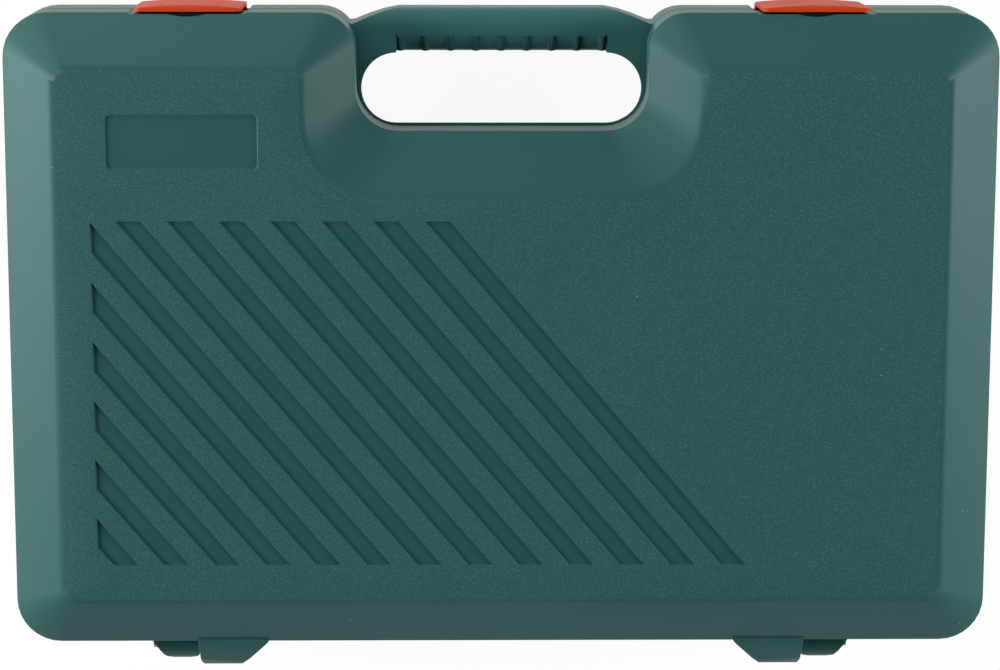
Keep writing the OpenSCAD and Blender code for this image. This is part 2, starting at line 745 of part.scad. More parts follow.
module ratchet_cover() {
    color("silver") difference() {
        union() {
            translate([ratchet_x, ratchet_y, head_top - cover_t]) cylinder(r = cover_r - 0.1, h = cover_t);
            translate([ratchet_x + lever_dx, ratchet_y, head_top - cover_t])
                cylinder(r = lobe_r - 0.1, h = cover_t);
        }
        translate([ratchet_x, ratchet_y, head_top - cover_t - over]) cylinder(r = 3.6, h = 5);
        translate([ratchet_x + lever_dx, ratchet_y, head_top - cover_t - over])
            cylinder(r = stem_r + fit_gap, h = 5);
        for (a = SCREW_ANGLES) at_screw(a) translate([0, 0, -over]) cylinder(r = screw_r + 0.05, h = 5);
    }
}

module ratchet_screws() {
    color("gray") for (a = SCREW_ANGLES) at_screw(a) {
        translate([0, 0, -4.5]) cylinder(r = screw_r, h = cover_t + 4.5 + tiny);
        translate([0, 0, cover_t]) difference() {
            cylinder(r = 2, h = 1);
            translate([0, 0, 0.4]) cylinder(r = 1.1, h = 1, $fn = 6);
        }
    }
}

module gear_outline() {
    step = 360 / gear_teeth;
    polygon([for (i = [0:gear_teeth - 1]) for (k = [0, 1])
        let (a = (i + k / 2) * step, r = gear_r - 1.1 * k) [r * cos(a), r * sin(a)]]);
}

module ratchet_drive() {
    color("dimgray") translate([ratchet_x, ratchet_y, 0]) difference() {
        union() {
            translate([0, 0, gear_low]) linear_extrude(gear_h) gear_outline();
            translate([0, 0, head_low - 0.6]) cylinder(r = boss_r, h = 5);
            translate([-drive_sq / 2, -drive_sq / 2, head_low - anvil_l])
                cube([drive_sq, drive_sq, anvil_l + 1]);
        }
        translate([0, 0, gear_low + 2]) cylinder(r = stem_r + fit_gap, h = head_t);
        translate([0, -drive_sq / 2 + ball_r - ball_out, head_low - anvil_l / 2]) sphere(r = ball_r + ball_gap);
    }
}

module ratchet_ball() {
    color("gray") translate([ratchet_x, ratchet_y - drive_sq / 2 + ball_r - ball_out, head_low - anvil_l / 2])
        sphere(r = ball_r);
}

button_travel = 1.5;

module ratchet_button() {
    color("silver") translate([ratchet_x, ratchet_y, 0]) {
        translate([0, 0, gear_low + 2 + button_travel + 0.3])
            cylinder(r = stem_r, h = head_top + 0.2 - gear_low - 2);
        translate([0, 0, head_top + 0.3 + button_travel]) cylinder(r = 4.6, h = 1.2);
        translate([0, 0, head_top + 1.5 + button_travel]) cylinder(r1 = 4.6, r2 = 3.8, h = 0.6);
    }
}

module ratchet_pawl() {
    color("dimgray") translate([ratchet_x + lever_dx, ratchet_y, gear_low + 0.3]) difference() {
        cylinder(r = 4.5, h = gear_h - 2);
        translate([-lever_dx, 0, -over]) cylinder(r = gear_r + 0.4, h = head_t);
    }
}

module ratchet_lever() {
    color("silver") translate([ratchet_x + lever_dx, ratchet_y, 0]) {
        translate([0, 0, head_top - cover_t + 0.3]) cylinder(r = stem_r, h = cover_t + 1);
        translate([0, 0, head_top + 0.3]) linear_extrude(3) hull() {
            circle(5);
            translate([9, 0]) circle(3);
        }
        translate([9, 0, head_top + 3.3 - tiny]) cylinder(r = 2.6, h = 1.4);
    }
}

module ratchet_grip() {
    r = grip_d / 2;
    inner = shank_d / 2 + fit_gap;
    color("dimgray") translate([grip_x0, ratchet_y, ratchet_z]) rotate([0, 90, 0]) difference() {
        rotate_extrude() polygon(concat(
            [[inner, 0], [shank_d / 2 + 2.5, 0], [r - 2, 4]],
            [for (i = [0:7]) for (p = [[r - 2, 8 + 11 * i], [r - 0.6, 10 + 11 * i], [r - 0.6, 16 + 11 * i],
                [r - 2, 18 + 11 * i]]) p],
            [[r, grip_l - 10], [r, grip_l - 4], [r - 4, grip_l], [0, grip_l],
                [0, grip_l - 3.7], [inner, grip_l - 3.7]]
        ));
    }
}

module ratchet_pocket() {
    translate([ratchet_x, ratchet_y, head_low - tool_gap]) cylinder(d = head_d + 2 * tool_gap, h = case_h);
    translate([ratchet_x, ratchet_y, pocket_floor]) cylinder(r = drive_sq * 0.7072 + 1.2, h = case_h);
    x_rod(head_t / 2 - 1 + tool_gap, ratchet_x, ratchet_x + neck_l, ratchet_y, ratchet_z);
    x_rod(shank_d / 2 + tool_gap, ratchet_x, grip_x0 + over, ratchet_y, ratchet_z);
    box(ratchet_x, grip_x0, ratchet_y - shank_d / 2 - tool_gap, ratchet_y + shank_d / 2 + tool_gap,
        ratchet_z, case_h);
    box(ratchet_x, ratchet_x + neck_l, ratchet_y - head_t / 2 - tool_gap + 1,
        ratchet_y + head_t / 2 + tool_gap - 1, ratchet_z, case_h);
    x_rod(grip_d / 2 + tool_gap, grip_x0 - tool_gap, grip_x0 + grip_l + tool_gap, ratchet_y, ratchet_z);
    // finger well under the shank
    box(grip_x0 - well_l - well_end, grip_x0 - well_end, ratchet_y - well_w / 2, ratchet_y + well_w / 2,
        pocket_floor + 6, case_h);
}

// Universal joint lying along X: the fixed fork in its cradle, the free fork over a well
uj_back = 36;
uj_free_back = 22;
uj_x = side_x + uj_back;
uj_y = (front_row_y + fem_d / 2 + row_y - socket_od(22) / 2) / 2;
uj_z = deck_z + 2;
uj_pin_r = 2.5;
cross_w = 11;
fork_gap = 0.3;
fork_slot = 12;
ear_w = 8.8;
ear_tip = 5.2;
uj_swing = uj_d / 2 + 12;

// A fork along X with its ears above and below the joint's middle
module uj_fork() {
    r = uj_d / 2;
    slot = cross_w / 2 + fork_gap;
    difference() {
        x_rod(r, -uj_back, ear_tip, 0, 0);
        box(-fork_slot, r, -r, r, -slot, slot);
        both_ears() box(-fork_slot, r, ear_w / 2, r + over, -r, r);
        difference() {
            box(0, r, -r, r, -r, r);
            translate([0, 0, -r]) cylinder(r = ear_tip, h = 2 * r);
        }
        translate([0, 0, -r - over]) cylinder(r = uj_pin_r + fit_gap, h = 2 * r + 2 * over);
    }
}

module both_ears() {
    children();
    mirror([0, 1, 0]) children();
}

module uj_fork_fixed() {
    color("silver") translate([uj_x, uj_y, uj_z]) difference() {
        uj_fork();
        box(-uj_back - over, -uj_back + sq_depth, -sq_hole / 2, sq_hole / 2, -sq_hole / 2, sq_hole / 2);
    }
}

module uj_cross() {
    w = cross_w / 2;
    reach = uj_d / 2 - 1;
    color("gray") translate([uj_x, uj_y, uj_z]) {
        intersection() {
            translate([-w, -w, -w]) cube(cross_w);
            sphere(r = 1.38 * w);
        }
        translate([0, 0, -reach]) cylinder(r = uj_pin_r, h = 2 * reach);
        translate([0, -reach, 0]) rotate([-90, 0, 0]) cylinder(r = uj_pin_r, h = 2 * reach);
    }
}

module uj_fork_free() {
    color("silver") translate([uj_x, uj_y, uj_z]) {
        intersection() {
            rotate([90, 0, 180]) uj_fork();
            box(-uj_d, uj_free_back, -uj_d, uj_d, -uj_d, uj_d);
        }
        male_square(uj_free_back - tiny, 0, 0);
    }
}

module uj_pocket() {
    r = uj_d / 2 + tool_gap;
    x_rod(r, uj_x - uj_back - tool_gap, uj_x, uj_y, uj_z);
    box(uj_x - uj_back - tool_gap, uj_x, uj_y - r, uj_y + r, uj_z, case_h);
    box(uj_x - fork_slot - 3, uj_x + uj_free_back + male_l + 3, uj_y - uj_swing, uj_y + uj_swing,
        pocket_floor, case_h);
}

// Adaptor and screwdriver bits standing in the front block
adaptor_d = 20;
bit_pitch = 14;
bit_af = 8;
bit_l = 30;
bit_floor = deck_z - 16;
bits_w = (len(BITS) - 1) * bit_pitch + bit_af / cos(30);
// The bits and the adaptor share the room between the middle extension and the universal joint
ext_mid_end = plug_x0 + ext_len(EXTENSIONS[1]);
mid_gap = (uj_x - uj_back - ext_mid_end - bits_w - adaptor_d) / 3;
bit_x0 = ext_mid_end + mid_gap + bit_af / cos(30) / 2;
adaptor_xy = [uj_x - uj_back - mid_gap - adaptor_d / 2, mid_y];

module adaptor() {
    color("silver") translate([adaptor_xy[0], adaptor_xy[1], pocket_floor]) difference() {
        union() {
            rotate_extrude() polygon([
                [0, 0], [adaptor_d / 2 - 0.7, 0], [adaptor_d / 2, 0.7], [adaptor_d / 2, 20],
                [7.5, 25], [0, 25]
            ]);
            translate([-4.76, -4.76, 20]) cube([9.52, 9.52, 17]);
        }
        translate([-sq_hole / 2, -sq_hole / 2, -over]) cube([sq_hole, sq_hole, sq_depth + over]);
    }
}

function bit_xy(b) = [bit_x0 + (b - BITS[0]) * bit_pitch, mid_y];

module bit(b) {
    color("gray") translate([bit_xy(b)[0], bit_xy(b)[1], bit_floor]) {
        cylinder(d = bit_af / cos(30), h = 14, $fn = 6);
        translate([0, 0, 14 - tiny]) cylinder(r1 = bit_af / 2, r2 = b / 2, h = 2);
        translate([0, 0, 15]) cylinder(d = b / cos(30), h = bit_l - 15, $fn = 6);
    }
}

module base_shell() {
    color("darkslategray") difference() {
        union() {
            base_form();
            grip_bar();
            both_sides() base_foot();
        }
        // tray
        loft([[rim_w, deck_z], [rim_w - 1, base_h + over]]);
        hand_hole();
        both_sides() pin_bore();
        both_sides() base_latch_recess();
        for (s = SOCKETS) socket_pocket(s);
        for (s = PLUG_SOCKETS) lying_pocket(plug_od(s) / 2, plug_x0, plug_x0 + plug_l, plug_y(s));
        for (l = EXTENSIONS) extension_pocket(l);
        t_pocket();
        ratchet_pocket();
        uj_pocket();
        translate([adaptor_xy[0], adaptor_xy[1], pocket_floor])
            cylinder(d = adaptor_d + 2 * tool_gap, h = case_h);
        for (b = BITS)
            translate([bit_xy(b)[0], bit_xy(b)[1], bit_floor])
                cylinder(d = bit_af / cos(30) + 2 * tool_gap, h = case_h);
    }
}

module extension_pocket(l) {
    x = ext_x0(l);
    lying_pocket(fem_d / 2, x, x + fem_l + fem_cone, ext_y(l));
    lying_pocket(neck_d / 2, x + fem_l, x + ext_len(l), ext_y(l));
}

module t_pocket() {
    r = t_bar_d / 2 + tool_gap;
    x_rod(r, bar_x0 - tool_gap, bar_x0 + t_bar_l + tool_gap, t_bar_y, t_z);
    box(bar_x0 - tool_gap, bar_x0 + t_bar_l + tool_gap, t_bar_y - r, t_bar_y + r, t_z, case_h);
    reach = t_head_w / 2 + 2;
    box(t_head_x - t_travel - reach, t_head_x + reach, t_bar_y - t_head_w / 2 - tool_gap,
        t_bar_y + t_head_w / 2 + tool_gap, t_z - t_head_h / 2 - tool_gap, case_h);
}

module lid_stripes() {
    x1 = case_w / 2 - field_side;
    y1 = back_y - field_back;
    y0 = y1 - field_h;
    slope = field_h / tan(stripe_angle);
    translate([0, 0, case_h - stripe_depth]) linear_extrude(stripe_depth + over) intersection() {
        translate([-case_w / 2, y0]) square([case_w / 2 + x1, field_h]);
        for (i = [0:stripe_count - 1]) {
            x = x1 - stripe_start - (i + stripe_whole - stripe_count) * stripe_pitch;
            polygon([[x, y0], [x - stripe_w, y0], [x - stripe_w - slope, y1], [x - slope, y1]]);
        }
    }
}

module lid_plate() {
    x1 = case_w / 2 - plate_side;
    y0 = front_y + plate_front;
    translate([0, 0, case_h - plate_depth]) linear_extrude(plate_depth + over)
        translate([x1 - plate_w, y0]) offset(plate_r, $fn = 24) offset(-plate_r) square([plate_w, plate_h]);
}

module lid_shell() {
    color("darkslategray") difference() {
        union() {
            lid_form();
            both_sides() lid_foot();
        }
        loft([[rim_w - 1, lid_low - over], [rim_w + cavity_taper, ceiling_z]]);
        both_sides() pin_bore();
        both_sides() lid_latch_recess();
        lid_stripes();
        lid_plate();
    }
}

base_shell();
lid_shell();
mirror([1, 0, 0]) hinge_pin();  // hinge_pin_left
hinge_pin();  // hinge_pin_right
mirror([1, 0, 0]) latch();  // latch_left
latch();  // latch_right
for (s = SOCKETS) socket(s);
for (s = PLUG_SOCKETS) plug_socket(s);
for (s = PLUG_SOCKETS) plug_insert(s);
ratchet_body();
ratchet_grip();
ratchet_cover();
ratchet_screws();
ratchet_drive();
ratchet_pawl();
ratchet_ball();
ratchet_button();
ratchet_lever();
for (l = EXTENSIONS) extension(l);
extension_balls();
t_bar();
t_head();
t_head_ball();
uj_fork_fixed();
uj_cross();
uj_fork_free();
adaptor();
for (b = BITS) bit(b);
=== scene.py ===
"""Looks of a socket wrench set in a blow-moulded plastic case.

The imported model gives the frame: metres, +Z up, the case lying on its back with
the hand hold and the latches at -Y and the hinge at +Y.
"""

import logging
import math
from dataclasses import dataclass, field
from enum import Enum
from typing import Any, Iterable

import bmesh
import bpy
from mathutils import Matrix, Vector

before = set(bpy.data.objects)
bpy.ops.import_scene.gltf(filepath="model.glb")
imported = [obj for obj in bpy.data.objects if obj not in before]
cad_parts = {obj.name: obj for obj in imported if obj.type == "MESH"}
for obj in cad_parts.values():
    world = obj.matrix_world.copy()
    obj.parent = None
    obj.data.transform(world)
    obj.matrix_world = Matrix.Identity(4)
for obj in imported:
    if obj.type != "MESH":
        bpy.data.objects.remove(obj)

LOG = logging.getLogger("case")
MM = 0.001
IMAGE_WIDTH = 1000
# Points closer than this are one point
WELD_MM = 0.002
# How much large faces pull the shading of a rounded edge
NORMAL_WEIGHT = 80
# Octaves of the noise in even surfaces, and in stained ones
EVEN_OCTAVES = 2.0
STAINED_OCTAVES = 4.0

Socket = bpy.types.NodeSocket
Tree = bpy.types.NodeTree


def srgb(code: str) -> tuple[float, float, float, float]:
    """Turn an sRGB hex colour to the linear colour that shaders take.

    Args:
        code: Six hex digits with a leading hash.

    Returns:
        Linear red, green and blue, and an alpha of 1.
    """
    parts = [int(code[i : i + 2], 16) / 255 for i in (1, 3, 5)]
    linear = [c / 12.92 if c <= 0.04045 else ((c + 0.055) / 1.055) ** 2.4 for c in parts]
    return (linear[0], linear[1], linear[2], 1.0)


def add(
    tree: Tree,
    kind: str,
    values: dict[str | int, Any] | None = None,
    links: dict[str | int, Socket] | None = None,
    **settings: Any,
) -> bpy.types.Node:
    """Add a shader node with its settings, socket values and incoming links.

    Args:
        tree: The node tree that gets the node.
        kind: The node's type without the leading "ShaderNode".
        values: Values of input sockets, by name or number.
        links: Output sockets that feed input sockets, by name or number.
        **settings: Properties of the node itself.

    Returns:
        The new node.
    """
    made = tree.nodes.new("ShaderNode" + kind)
    for name, value in settings.items():
        setattr(made, name, value)
    for name, value in (values or {}).items():
        made.inputs[name].default_value = value
    for name, source in (links or {}).items():
        tree.links.new(source, made.inputs[name])
    return made


def fresh_material(name: str) -> tuple[bpy.types.Material, Tree]:
    """Make an empty node material.

    Args:
        name: The material's name.

    Returns:
        The material and its node tree.
    """
    material = bpy.data.materials.new(name)
    material.use_nodes = True
    material.node_tree.nodes.clear()
    return material, material.node_tree


def close(tree: Tree, surface: Socket) -> None:
    """Feed a shader to the material's output.

    Args:
        tree: The material's node tree.
        surface: The shader socket that the surface shows.
    """
    add(tree, "OutputMaterial", links={"Surface": surface})


@dataclass(frozen=True)
class Region:
    """A box in the case's frame, by its middle and its half sizes in millimetres."""

    middle: tuple[float, float, float]
    half: tuple[float, float, float]

    def mask(self, tree: Tree, axes: bpy.types.Node) -> Socket:
        """Give 1 inside the box and 0 outside it.

        Args:
            tree: The material's node tree.
            axes: The node that splits the place into X, Y and Z.

        Returns:
            The mask's socket.
        """
        inside = [
            add(
                tree,
                "Math",
                {1: middle * MM, 2: half * MM},
                {0: axes.outputs[i]},
                operation="COMPARE",
            )
            for i, (middle, half) in enumerate(zip(self.middle, self.half))
        ]
        flat = add(
            tree,
            "Math",
            links={0: inside[0].outputs[0], 1: inside[1].outputs[0]},
            operation="MULTIPLY",
        )
        whole = add(
            tree,
            "Math",
            links={0: flat.outputs[0], 1: inside[2].outputs[0]},
            operation="MULTIPLY",
        )
        return whole.outputs[0]


@dataclass(frozen=True)
class GrainedPolyethylene:
    """High density polyethylene, blow-moulded in a spark-eroded mould.

    The flat panel has the mould's leather grain. Pale speckles are painted on the
    grain's tips, a painted highlight where the grain scatters the light. The border, the
    walls and the sunk stripes are smooth, and the border shows broad soft reflections.
    The sunk stripes are tinted a touch paler, painted light against the shade in them,
    and the grip bar is tinted paler, painted light against the shade deep in the notch.
    The real grain is about 0.3 mm, and it is drawn at 0.65 mm, the finest that shows.
    """

    colour: str = "#2B5553"
    faded: str = "#305B58"
    # Painted highlight: pale speckles on the grain's tips, where the grain catches the light
    grain_highlight: str = "#47726E"
    # Painted light: the sunk stripes are tinted a touch paler to offset the shade in them
    stripe_painted_light: str = "#2C5754"
    # Painted light: the grip bar is tinted paler to offset the shade deep in the notch
    grip_painted_light: str = "#346663"
    scuff: str = "#7FA39E"
    speckle_low: float = 0.50
    speckle_high: float = 0.74
    speckle_strength: float = 0.9
    scuff_mm: float = 0.7
    scuff_spacing_mm: float = 9.0
    scuff_share: float = 0.12
    scuff_strength: float = 0.7
    grain_mm: float = 0.65
    grain_falloff: float = 0.55
    patch_mm: float = 110.0
    grain_height_mm: float = 0.18
    skin_height_mm: float = 0.015
    relief: float = 0.9
    panel_low_mm: float = 71.15
    panel_high_mm: float = 71.95
    panel_edge_mm: float = 0.5
    grain_roughness: float = 0.50
    smooth_roughness: float = 0.42
    ior: float = 1.54
    gloss: float = 0.11
    stripes: Region = Region((40.0, 33.0, 70.8), (147.0, 77.0, 0.35))
    grip_half_mm: float = 62.0
    grip_end_fade_mm: float = 12.0
    grip_back_mm: float = -106.0
    grip_back_fade_mm: float = 4.0

    def grip(self, tree: Tree, axes: bpy.types.Node) -> Socket:
        """Pick out the grip bar, which is tinted paler as painted light against the shade deep
        in the notch.

        Args:
            tree: The material's node tree.
            axes: The node that splits the place into X, Y and Z.

        Returns:
            A mask that fades from 1 on the bar to 0 at its ends.
        """
        side = add(tree, "Math", links={0: axes.outputs[0]}, operation="ABSOLUTE")
        along = add(
            tree,
            "MapRange",
            {
                "From Min": self.grip_half_mm * MM,
                "From Max": (self.grip_half_mm - self.grip_end_fade_mm) * MM,
            },
            {"Value": side.outputs[0]},
        )
        across = add(
            tree,
            "MapRange",
            {
                "From Min": self.grip_back_mm * MM,
                "From Max": (self.grip_back_mm - self.grip_back_fade_mm) * MM,
            },
            {"Value": axes.outputs[1]},
        )
        both = add(
            tree,
            "Math",
            links={0: along.outputs[0], 1: across.outputs[0]},
            operation="MULTIPLY",
        )
        return both.outputs[0]

    def scuffs(self, tree: Tree, place: Socket) -> Socket:
        """Scatter a few small pale marks, as handling leaves.

        Args:
            tree: The material's node tree.
            place: The case's own coordinates.

        Returns:
            A mask that is 1 on a mark.
        """
        cells = add(
            tree,
            "TexVoronoi",
            {"Scale": 1 / (self.scuff_spacing_mm * MM)},
            {"Vector": place},
        )
        size = self.scuff_mm / 2 / self.scuff_spacing_mm
        spot = add(
            tree,
            "Math",
            {1: size},
            {0: cells.outputs["Distance"]},
            operation="LESS_THAN",
        )
        pick = add(tree, "SeparateColor", links={0: cells.outputs["Color"]})
        few = add(
            tree,
            "Math",
            {1: 1 - self.scuff_share},
            {0: pick.outputs[0]},
            operation="GREATER_THAN",
        )
        both = add(
            tree,
            "Math",
            links={0: spot.outputs[0], 1: few.outputs[0]},
            operation="MULTIPLY",
        )
        pale = add(
            tree,
            "Math",
            {1: self.scuff_strength},
            {0: both.outputs[0]},
            operation="MULTIPLY",
        )
        return pale.outputs[0]

    def material(self) -> bpy.types.Material:
        """Build the material, in the case's own coordinates."""
        made, tree = fresh_material("grained_polyethylene")
        place = add(tree, "TexCoord").outputs["Object"]
        axes = add(tree, "SeparateXYZ", links={0: place})
        grain = add(
            tree,
            "TexNoise",
            {
                "Scale": 1 / (self.grain_mm * MM),
                "Detail": EVEN_OCTAVES,
                "Roughness": self.grain_falloff,
            },
            {"Vector": place},
        )
        ragged = add(
            tree,
            "Math",
            {1: self.panel_edge_mm * MM},
            {0: grain.outputs["Fac"], 2: axes.outputs[2]},
            operation="MULTIPLY_ADD",
        )
        on_panel = add(
            tree,
            "MapRange",
            {
                "From Min": (self.panel_low_mm + self.panel_edge_mm / 2) * MM,
                "From Max": (self.panel_high_mm + self.panel_edge_mm / 2) * MM,
            },
            {"Value": ragged.outputs[0]},
        )
        sunk = self.stripes.mask(tree, axes)
        patches = add(
            tree,
            "TexNoise",
            {"Scale": 1 / (self.patch_mm * MM), "Detail": EVEN_OCTAVES},
            {"Vector": place},
        )
        tone = add(
            tree,
            "Mix",
            {6: srgb(self.colour), 7: srgb(self.faded)},
            {0: patches.outputs["Fac"]},
            data_type="RGBA",
        )
        # Painted light: mix in the paler grip tint, against the shade deep in the notch
        wear_and_painted_light = add(
            tree,
            "Mix",
            {7: srgb(self.grip_painted_light)},
            {0: self.grip(tree, axes), 6: tone.outputs[2]},
            data_type="RGBA",
        )
        # Painted light: the sunk stripes get their paler tint, against the shade in them
        grooved = add(
            tree,
            "Mix",
            {7: srgb(self.stripe_painted_light)},
            {0: sunk, 6: wear_and_painted_light.outputs[2]},
            data_type="RGBA",
        )
        # Painted highlight: the grain's tips are painted pale where the grain catches the light
        bright = add(
            tree,
            "MapRange",
            {
                "From Min": self.speckle_low,
                "From Max": self.speckle_high,
                "To Max": self.speckle_strength,
            },
            {"Value": grain.outputs["Fac"]},
        )
        dots = add(
            tree,
            "Math",
            links={0: bright.outputs[0], 1: on_panel.outputs[0]},
            operation="MULTIPLY",
        )
        speckled = add(
            tree,
            "Mix",
            {7: srgb(self.grain_highlight)},
            {0: dots.outputs[0], 6: grooved.outputs[2]},
            data_type="RGBA",
        )
        scuffed = add(
            tree,
            "Mix",
            {7: srgb(self.scuff)},
            {0: self.scuffs(tree, place), 6: speckled.outputs[2]},
            data_type="RGBA",
        )
        height = add(
            tree,
            "MapRange",
            {"To Min": self.skin_height_mm * MM, "To Max": self.grain_height_mm * MM},
            {"Value": on_panel.outputs[0]},
        )
        bump = add(
            tree,
            "Bump",
            {"Strength": self.relief},
            {"Height": grain.outputs["Fac"], "Distance": height.outputs[0]},
        )
        rough = add(
            tree,
            "MapRange",
            {"To Min": self.smooth_roughness, "To Max": self.grain_roughness},
            {"Value": on_panel.outputs[0]},
        )
        shader = add(
            tree,
            "BsdfPrincipled",
            {"IOR": self.ior, "Specular IOR Level": self.gloss},
            {
                "Base Color": scuffed.outputs[2],
                "Roughness": rough.outputs[0],
                "Normal": bump.outputs[0],
            },
        )
        close(tree, shader.outputs[0])
        return made


@dataclass(frozen=True)
class MouldedPlastic:
    """Injection-moulded polypropylene or soft rubber, one colour through and through.

    A slight unevenness of the gloss keeps the large faces from looking machined. The
    real texture is about 0.1 mm, and it is drawn at 0.5 mm and more, so that it shows.
    """

    name: str
    colour: str
    shade: str
    roughness: float
    ior: float = 1.49
    gloss: float = 0.35
    texture_mm: float = 0.5
    texture_height_mm: float = 0.02
    relief: float = 0.6
    tone_mm: float = 25.0
    smoother: float = 0.05
    rougher: float = 0.07

    def material(self) -> bpy.types.Material:
        """Build the material, in the case's own coordinates."""
        made, tree = fresh_material(self.name)
        place = add(tree, "TexCoord").outputs["Object"]
        drift = add(
            tree,
            "TexNoise",
            {"Scale": 1 / (self.tone_mm * MM), "Detail": EVEN_OCTAVES},
            {"Vector": place},
        )
        tone = add(
            tree,
            "Mix",
            {6: srgb(self.colour), 7: srgb(self.shade)},
            {0: drift.outputs["Fac"]},
            data_type="RGBA",
        )
        fine = add(
            tree,
            "TexNoise",
            {"Scale": 1 / (self.texture_mm * MM), "Detail": EVEN_OCTAVES},
            {"Vector": place},
        )
        bump = add(
            tree,
            "Bump",
            {"Strength": self.relief, "Distance": self.texture_height_mm * MM},
            {"Height": fine.outputs["Fac"]},
        )
        rough = add(
            tree,
            "MapRange",
            {
                "To Min": self.roughness - self.smoother,
                "To Max": self.roughness + self.rougher,
            },
            {"Value": drift.outputs["Fac"]},
        )
        shader = add(
            tree,
            "BsdfPrincipled",
            {"IOR": self.ior, "Specular IOR Level": self.gloss},
            {
                "Base Color": tone.outputs[2],
                "Roughness": rough.outputs[0],
                "Normal": bump.outputs[0],
            },
        )
        close(tree, shader.outputs[0])
        return made


@dataclass(frozen=True)
class ToolSteel:
    """Chrome vanadium or bare steel, ground and then plated, oiled or phosphated.

    The grinding leaves fine marks along one way, which stretch the reflections. The
    real marks are about 0.05 mm apart, and they are drawn at 0.25 mm, so that they show.
    """

    name: str
    colour: str
    wear_and_painted_light: str
    roughness: float
    mark_mm: float = 0.25
    mark_length: float = 14.0
    mark_height_mm: float = 0.006
    relief: float = 0.5
    stain_mm: float = 9.0
    stain_falloff: float = 0.6
    smoother: float = 0.75
    rougher: float = 1.3

    def material(self) -> bpy.types.Material:
        """Build the material, in the case's own coordinates."""
        made, tree = fresh_material(self.name)
        place = add(tree, "TexCoord").outputs["Object"]
        along = add(
            tree,
            "Mapping",
            {"Scale": (1 / self.mark_length, 1.0, 1.0)},
            {"Vector": place},
        )
        marks = add(
            tree,
            "TexNoise",
            {"Scale": 1 / (self.mark_mm * MM), "Detail": EVEN_OCTAVES},
            {"Vector": along.outputs[0]},
        )
        stains = add(
            tree,
            "TexNoise",
            {
                "Scale": 1 / (self.stain_mm * MM),
                "Detail": STAINED_OCTAVES,
                "Roughness": self.stain_falloff,
            },
            {"Vector": place},
        )
        tone = add(
            tree,
            "Mix",
            {6: srgb(self.colour), 7: srgb(self.wear_and_painted_light)},
            {0: stains.outputs["Fac"]},
            data_type="RGBA",
        )
        rough = add(
            tree,
            "MapRange",
            {
                "To Min": self.roughness * self.smoother,
                "To Max": self.roughness * self.rougher,
            },
            {"Value": stains.outputs["Fac"]},
        )
        bump = add(
            tree,
            "Bump",
            {"Strength": self.relief, "Distance": self.mark_height_mm * MM},
            {"Height": marks.outputs["Fac"]},
        )
        shader = add(
            tree,
            "BsdfPrincipled",
            {"Metallic": 1.0},
            {
                "Base Color": tone.outputs[2],
                "Roughness": rough.outputs[0],
                "Normal": bump.outputs[0],
            },
        )
        close(tree, shader.outputs[0])
        return made


class Finish(Enum):
    """Every finish on the case and on the tools in it."""

    # Matt dark green with pale speckles and broad soft reflections on the border
    CASE = GrainedPolyethylene()
    # Even orange with hardly any shine
    LATCH = MouldedPlastic(
        "moulded_orange_polypropylene",
        "#CA431B",
        "#BB3818",
        0.45,
        gloss=0.06,
    )
    # Black with a coarse moulded texture that breaks the highlights up
    GRIP = MouldedPlastic(
        "moulded_black_grip",
        "#1B1C1D",
        "#232425",
        0.55,
        texture_mm=0.8,
        texture_height_mm=0.05,
    )
    # Dull black that shows no reflection
    RUBBER = MouldedPlastic("pressed_black_rubber", "#161616", "#1E1E1E", 0.75, ior=1.52)
    # Bright and a little blurred, stretched by the grinding marks
    CHROME = ToolSteel("satin_chrome_vanadium", "#C9CBCE", "#B7B9BC", 0.20)
    # Darker and softer than the chrome
    STEEL = ToolSteel("ground_bare_steel", "#8C8E90", "#747678", 0.32)
    # Dark grey with a weak metal sheen
    PHOSPHATED = ToolSteel("phosphated_bit_steel", "#5D5F60", "#48494A", 0.42)


class Paintshop:
    """Builds each finish once and puts it on pieces."""

    def __init__(self) -> None:
        """Start with no material built."""
        self.made: dict[Finish, bpy.types.Material] = {}

    def paint(self, piece: bpy.types.Object, finish: Finish) -> None:
        """Give a piece one finish all over.

        Args:
            piece: The mesh object.
            finish: The finish that it gets.
        """
        if finish not in self.made:
            self.made[finish] = finish.value.material()
        piece.data.materials.clear()
        piece.data.materials.append(self.made[finish])


def soften(
    piece: bpy.types.Object,
    radius_mm: float,
    angle_deg: float = 32.0,
    steps: int = 2,
    clamp: bool = True,
) -> None:
    """Round a piece's edges a little and shade its curved faces smoothly.

    Args:
        piece: The mesh object.
        radius_mm: Width of the rounding.
        angle_deg: Edges sharper than this are rounded.
        steps: Segments of the rounding.
        clamp: Whether the smallest face limits the rounding.
    """
    piece.data.polygons.foreach_set("use_smooth", [True] * len(piece.data.polygons))
    weld = piece.modifiers.new("weld", "WELD")
    weld.merge_threshold = WELD_MM * MM
    bevel = piece.modifiers.new("edge", "BEVEL")
    bevel.width = radius_mm * MM
    bevel.segments = steps
    bevel.limit_method = "ANGLE"
    bevel.angle_limit = math.radians(angle_deg)
    bevel.use_clamp_overlap = clamp
    bevel.harden_normals = True
    normals = piece.modifiers.new("normals", "WEIGHTED_NORMAL")
    normals.keep_sharp = True
    normals.weight = NORMAL_WEIGHT


@dataclass
class CaseShells:
    """The two blow-moulded halves."""

    edge_mm: float = 0.35
    edge_angle_deg: float = 40.0

    def dress(self, shop: Paintshop) -> list[str]:
        """Finish both halves.

        Args:
            shop: Where the materials come from.

        Returns:
            The names of the pieces.
        """
        names = ["base_shell", "lid_shell"]
        for name in names:
            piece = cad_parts[name]
            soften(piece, self.edge_mm, angle_deg=self.edge_angle_deg, clamp=False)
            shop.paint(piece, Finish.CASE)
        return names


